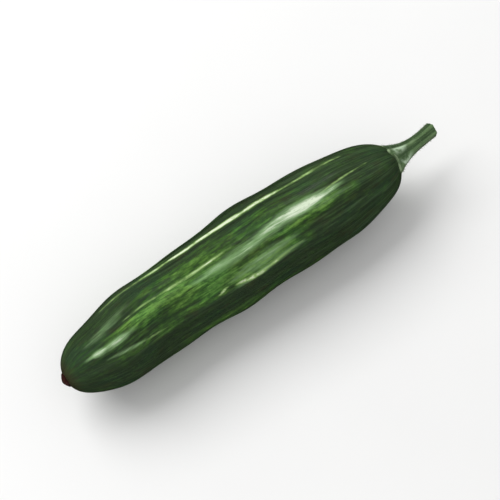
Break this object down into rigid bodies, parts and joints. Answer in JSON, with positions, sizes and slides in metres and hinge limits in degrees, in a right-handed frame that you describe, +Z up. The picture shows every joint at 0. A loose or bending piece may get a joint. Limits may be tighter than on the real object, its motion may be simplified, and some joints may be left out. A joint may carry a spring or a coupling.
{
  "type": "zucchini",
  "caption": "Whole dark green zucchini as picked, lying on its side: a long fruit with soft lengthwise ribs, a ridged cut stem that flares onto its shoulder, and a small corky blossom scar.",
  "frame": {"origin": "on the surface that the fruit rests on, under the middle of the whole length and width", "axes": "+X along the fruit from the blossom end to the stem, +Y across it, +Z up from the surface that it lies on"},
  "size_m": [0.2146, 0.0458, 0.0434],
  "materials": {
    "skin": "satin",
    "stem": "matte",
    "scar": "matte"
  },
  "bodies": {
    "root": {"fruit": "skin", "stem": "stem", "blossom_scar": "scar"}
  },
  "joints": []
}
